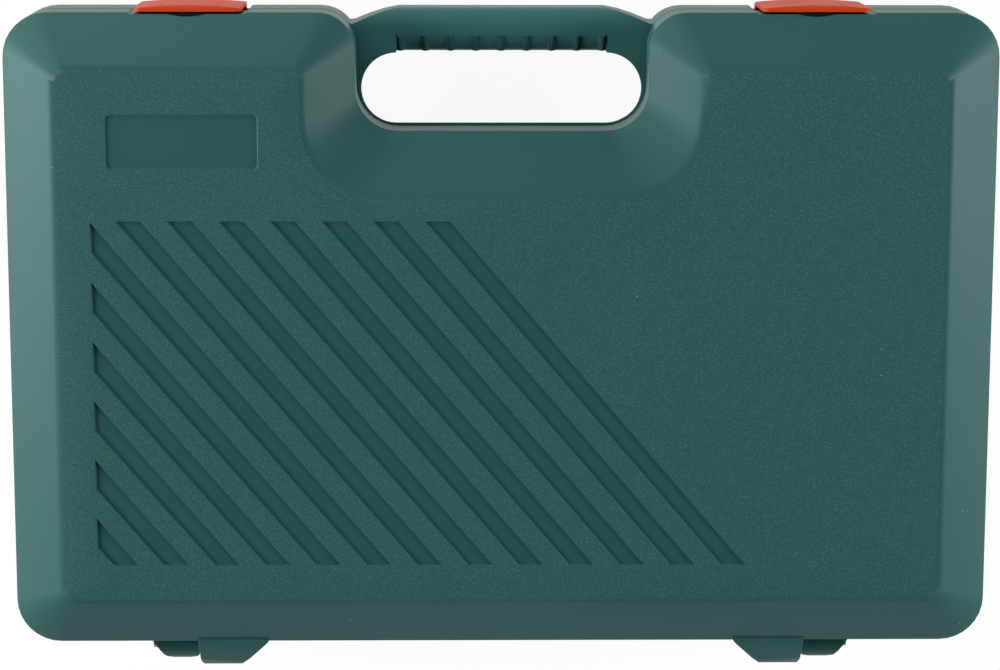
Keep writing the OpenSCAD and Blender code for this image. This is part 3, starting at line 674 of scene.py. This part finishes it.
@dataclass
class Hardware:
    """The latches and the hinge pins."""

    edge_mm: float = 0.5

    def dress(self, shop: Paintshop) -> list[str]:
        """Finish the latches and the pins.

        Args:
            shop: Where the materials come from.

        Returns:
            The names of the pieces.
        """
        names = []
        for side in ("left", "right"):
            for part, finish in (("latch_", Finish.LATCH), ("hinge_pin_", Finish.STEEL)):
                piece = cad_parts[part + side]
                soften(piece, self.edge_mm)
                shop.paint(piece, finish)
                names.append(part + side)
        return names


@dataclass
class Tools:
    """All the tools in the tray."""

    edge_mm: float = 0.3
    finishes: dict[str, Finish] = field(
        default_factory=lambda: {
            "plug_insert": Finish.RUBBER,
            "ratchet_grip": Finish.GRIP,
            "ratchet_screws": Finish.STEEL,
            "ratchet_drive": Finish.STEEL,
            "ratchet_pawl": Finish.STEEL,
            "ratchet_ball": Finish.STEEL,
            "extension_balls": Finish.STEEL,
            "t_head_ball": Finish.STEEL,
            "uj_cross": Finish.STEEL,
            "bit_": Finish.PHOSPHATED,
        }
    )

    def finish_of(self, name: str) -> Finish:
        """Find the finish of a tool piece, which is chrome unless listed."""
        listed = (f for start, f in self.finishes.items() if name.startswith(start))
        return next(listed, Finish.CHROME)

    def dress(self, shop: Paintshop, names: Iterable[str]) -> list[str]:
        """Finish the tools.

        Args:
            shop: Where the materials come from.
            names: The nodes that are tools.

        Returns:
            The names of the pieces.
        """
        done = []
        for name in names:
            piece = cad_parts[name]
            soften(piece, self.edge_mm)
            shop.paint(piece, self.finish_of(name))
            done.append(name)
        return done


@dataclass(frozen=True)
class Softbox:
    """One rectangular soft light, placed and sized in metres; a glow of 1 is white."""

    name: str
    place: tuple[float, float, float]
    sides: tuple[float, float]
    glow: float

    def hang(self) -> None:
        """Hang the light so that it faces the case."""
        lamp = bpy.data.lights.new(self.name, "AREA")
        lamp.shape = "RECTANGLE"
        lamp.size, lamp.size_y = self.sides
        lamp.energy = self.glow * math.pi * self.sides[0] * self.sides[1]
        obj = bpy.data.objects.new(self.name, lamp)
        bpy.context.scene.collection.objects.link(obj)
        obj.location = self.place
        obj.rotation_mode = "QUATERNION"
        obj.rotation_quaternion = (-Vector(self.place)).to_track_quat("-Z", "Y")
        obj.visible_camera = False


@dataclass
class Studio:
    """Pale floor, soft light from four sides and a dim sky, and the camera."""

    floor_size: float = 12.0
    focal_px: float = 3093.0
    sensor_mm: float = 36.0
    eye: tuple[float, float, float] = (0.0176, -0.2286, 1.2955)
    pitch_deg: float = 10.50
    yaw_deg: float = 0.783
    roll_deg: float = 0.095
    clip_m: tuple[float, float] = (0.01, 50.0)
    paper: tuple[str, str] = ("#E4E4E4", "#E8E8E8")
    paper_grain_mm: float = 2.5
    floor_share: float = 0.88
    floor_glow: float = 1.06
    sky: float = 0.10
    horizon: float = 0.02
    overhead: float = 0.55
    ceiling: float = 0.28
    lights: tuple[Softbox, ...] = (
        Softbox("left_softbox", (1.5, -0.09, 0.53), (0.5, 1.0), 18.7),
        Softbox("right_softbox", (-1.5, -0.1, 0.53), (0.5, 1.0), 15.0),
        Softbox("front_softbox", (0.85, -1.3, 0.55), (1.3, 0.8), 4.0),
        Softbox("back_softbox", (0.0, 1.6, 0.5), (1.6, 0.6), 1.6),
    )

    def build(self) -> None:
        """Make the floor, the world, the lights and the camera."""
        self.make_floor()
        self.make_world()
        for light in self.lights:
            light.hang()
        self.make_camera()
        bpy.context.scene.view_settings.view_transform = "Standard"

    def make_floor(self) -> None:
        """Lay a pale floor that keeps the object's shadow."""
        mesh = bpy.data.meshes.new("floor")
        form = bmesh.new()
        bmesh.ops.create_grid(form, x_segments=1, y_segments=1, size=self.floor_size / 2)
        form.to_mesh(mesh)
        form.free()
        floor = bpy.data.objects.new("floor", mesh)
        bpy.context.scene.collection.objects.link(floor)
        made, tree = fresh_material("white_studio_paper")
        ray = add(tree, "LightPath")
        seen = add(
            tree,
            "Math",
            links={0: ray.outputs["Is Camera Ray"], 1: ray.outputs["Is Glossy Ray"]},
            operation="MAXIMUM",
        )
        seen = add(
            tree,
            "Math",
            links={0: seen.outputs[0], 1: ray.outputs["Is Transmission Ray"]},
            operation="MAXIMUM",
        )
        share = add(
            tree,
            "Math",
            {1: self.floor_share},
            {0: seen.outputs[0]},
            operation="MULTIPLY",
        )
        grain = add(tree, "TexNoise", {"Scale": 1 / (self.paper_grain_mm * MM)})
        paper = add(
            tree,
            "Mix",
            {6: srgb(self.paper[0]), 7: srgb(self.paper[1])},
            {0: grain.outputs["Fac"]},
            data_type="RGBA",
        )
        matt = add(tree, "BsdfDiffuse", links={"Color": paper.outputs[2]})
        glow = add(tree, "Emission", {"Color": (1, 1, 1, 1), "Strength": self.floor_glow})
        both = add(
            tree,
            "MixShader",
            links={0: share.outputs[0], 1: matt.outputs[0], 2: glow.outputs[0]},
        )
        close(tree, both.outputs[0])
        mesh.materials.append(made)

    def make_world(self) -> None:
        """Light everything evenly, with a white background behind the object.

        The mirror view of the sky runs from white at the horizon to a dim ceiling.
        """
        world = bpy.data.worlds.new("studio")
        bpy.context.scene.world = world
        world.use_nodes = True
        tree = world.node_tree
        tree.nodes.clear()
        ray = add(tree, "LightPath")
        seen = add(
            tree,
            "Math",
            links={0: ray.outputs["Is Camera Ray"], 1: ray.outputs["Is Transmission Ray"]},
            operation="MAXIMUM",
        )
        up = add(tree, "SeparateXYZ", links={0: add(tree, "TexCoord").outputs["Generated"]})
        dome = add(
            tree,
            "MapRange",
            {
                "From Min": self.horizon,
                "From Max": self.overhead,
                "To Min": 1.0,
                "To Max": self.ceiling,
            },
            {"Value": up.outputs[2]},
            interpolation_type="SMOOTHSTEP",
        )
        soft = add(tree, "Background", {"Color": (1, 1, 1, 1), "Strength": self.sky})
        gloss = add(tree, "Background", {"Color": (1, 1, 1, 1)}, {"Strength": dome.outputs[0]})
        white = add(tree, "Background", {"Color": (1, 1, 1, 1), "Strength": 1.0})
        lit = add(
            tree,
            "MixShader",
            links={0: ray.outputs["Is Glossy Ray"], 1: soft.outputs[0], 2: gloss.outputs[0]},
        )
        both = add(
            tree,
            "MixShader",
            links={0: seen.outputs[0], 1: lit.outputs[0], 2: white.outputs[0]},
        )
        add(tree, "OutputWorld", links={"Surface": both.outputs[0]})

    def make_camera(self) -> None:
        """Point the camera down at the lid from the hand hold side."""
        angles = (self.pitch_deg, self.yaw_deg, self.roll_deg)
        pitch, yaw, roll = (math.radians(a) for a in angles)
        forward = Vector(
            (-math.sin(yaw) * math.cos(pitch), math.sin(pitch), -math.cos(pitch) * math.cos(yaw))
        ).normalized()
        right = forward.cross(Vector((0, -1, 0))).normalized()
        up = right.cross(forward)
        turned_right = right * math.cos(roll) + up * math.sin(roll)
        turned_up = up * math.cos(roll) - right * math.sin(roll)
        data = bpy.data.cameras.new("camera")
        data.sensor_fit = "HORIZONTAL"
        data.sensor_width = self.sensor_mm
        data.lens = self.focal_px / IMAGE_WIDTH * self.sensor_mm
        data.clip_start, data.clip_end = self.clip_m
        camera = bpy.data.objects.new("camera", data)
        bpy.context.scene.collection.objects.link(camera)
        turn = Matrix((turned_right, turned_up, -forward)).transposed()
        camera.matrix_world = Matrix.Translation(self.eye) @ turn.to_4x4()
        bpy.context.scene.camera = camera


def main() -> None:
    """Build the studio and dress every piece."""
    logging.basicConfig(level=logging.INFO, format="%(name)s: %(message)s")
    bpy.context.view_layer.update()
    shop = Paintshop()
    Studio().build()
    done = CaseShells().dress(shop)
    done += Hardware().dress(shop)
    done += Tools().dress(shop, [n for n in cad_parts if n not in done])
    for name in done:
        LOG.info("dressed %s", name)


if __name__ == "__main__":
    main()
